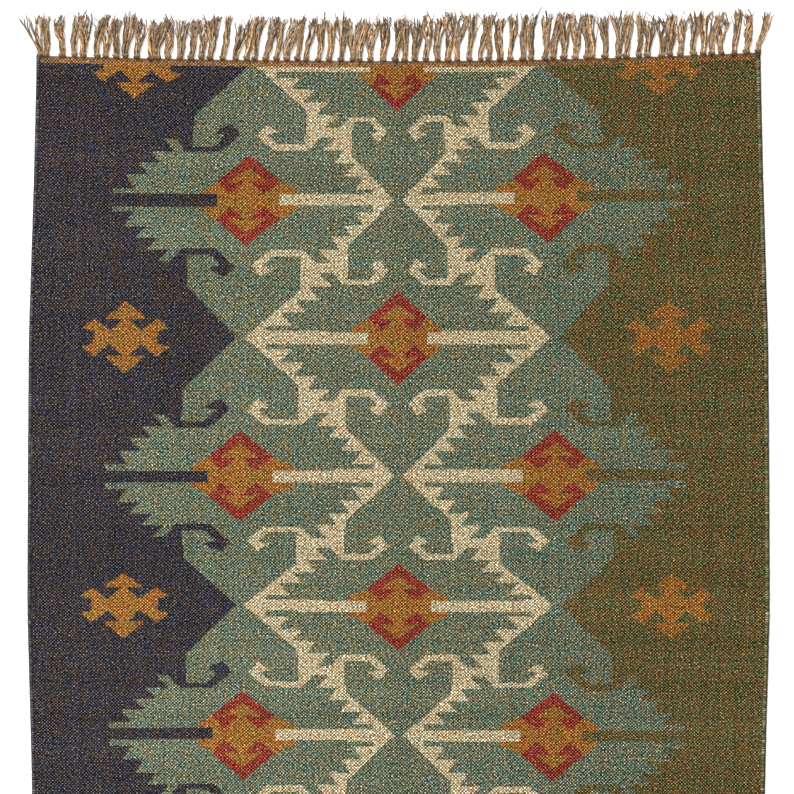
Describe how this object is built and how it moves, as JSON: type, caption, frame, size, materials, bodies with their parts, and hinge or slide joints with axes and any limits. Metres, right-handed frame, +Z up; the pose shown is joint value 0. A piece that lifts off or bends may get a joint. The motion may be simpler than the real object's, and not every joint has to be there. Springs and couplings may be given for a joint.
{
  "type": "area rug",
  "caption": "Flat-woven kilim area rug with hooked diamonds on a zigzag centre, dark side grounds, wrapped edges and knotted jute fringes.",
  "frame": {"origin": "centre of the rug on the floor plane it lies on", "axes": "+X across the rug to the right, +Y along the rug towards its far fringe, +Z up out of the face"},
  "size_m": [2.44, 2.9766, 0.014],
  "materials": {
    "navy_wool": "matt wool, melange",
    "olive_wool": "matt wool, melange",
    "sage_wool": "matt wool, melange",
    "green_wool": "matt wool, melange",
    "teal_wool": "matt wool, melange",
    "cream_wool": "matt wool, melange",
    "ochre_wool": "matt wool, melange",
    "red_wool": "matt wool, melange",
    "orange_wool": "matt wool, melange",
    "navy_cord": "matt wrapped yarn",
    "olive_cord": "matt wrapped yarn",
    "header_jute": "matt jute weft band",
    "fringe_jute": "matt twisted jute"
  },
  "bodies": {
    "root": {"cream_zigzag_left": "cream_wool", "cream_zigzag_right": "cream_wool", "cross_left_1": "orange_wool", "cross_left_2": "orange_wool", "cross_left_3": "orange_wool", "cross_left_4": "orange_wool", "cross_right_1": "orange_wool", "cross_right_2": "orange_wool", "cross_right_3": "orange_wool", "cross_right_4": "orange_wool", "diamond_left_1": "ochre_wool", "diamond_left_1_cap_far": "red_wool", "diamond_left_1_cap_near": "red_wool", "diamond_left_2": "ochre_wool", "diamond_left_2_cap_far": "red_wool", "diamond_left_2_cap_near": "red_wool", "diamond_left_3": "ochre_wool", "diamond_left_3_cap_far": "red_wool", "diamond_left_3_cap_near": "red_wool", "diamond_middle_1": "ochre_wool", "diamond_middle_1_cap_near": "red_wool", "diamond_middle_2": "ochre_wool", "diamond_middle_2_cap_far": "red_wool", "diamond_middle_2_cap_near": "red_wool", "diamond_middle_3": "ochre_wool", "diamond_middle_3_cap_far": "red_wool", "diamond_middle_3_cap_near": "red_wool", "diamond_middle_4": "ochre_wool", "diamond_middle_4_cap_far": "red_wool", "diamond_right_1": "ochre_wool", "diamond_right_1_cap_far": "red_wool", "diamond_right_1_cap_near": "red_wool", "diamond_right_2": "ochre_wool", "diamond_right_2_cap_far": "red_wool", "diamond_right_2_cap_near": "red_wool", "diamond_right_3": "ochre_wool", "diamond_right_3_cap_far": "red_wool", "diamond_right_3_cap_near": "red_wool", "fringe_far": "fringe_jute", "fringe_near": "fringe_jute", "green_left_1": "sage_wool", "green_left_2": "sage_wool", "green_left_3": "sage_wool", "green_left_4": "sage_wool", "green_middle_1": "green_wool", "green_middle_2": "green_wool", "green_middle_3": "green_wool", "green_right_1": "teal_wool", "green_right_2": "teal_wool", "green_right_3": "teal_wool", "green_right_4": "teal_wool", "header_far": "header_jute", "header_near": "header_jute", "navy_ground": "navy_wool", "olive_ground": "olive_wool", "selvedge_left": "navy_cord", "selvedge_right": "olive_cord"}
  },
  "joints": []
}
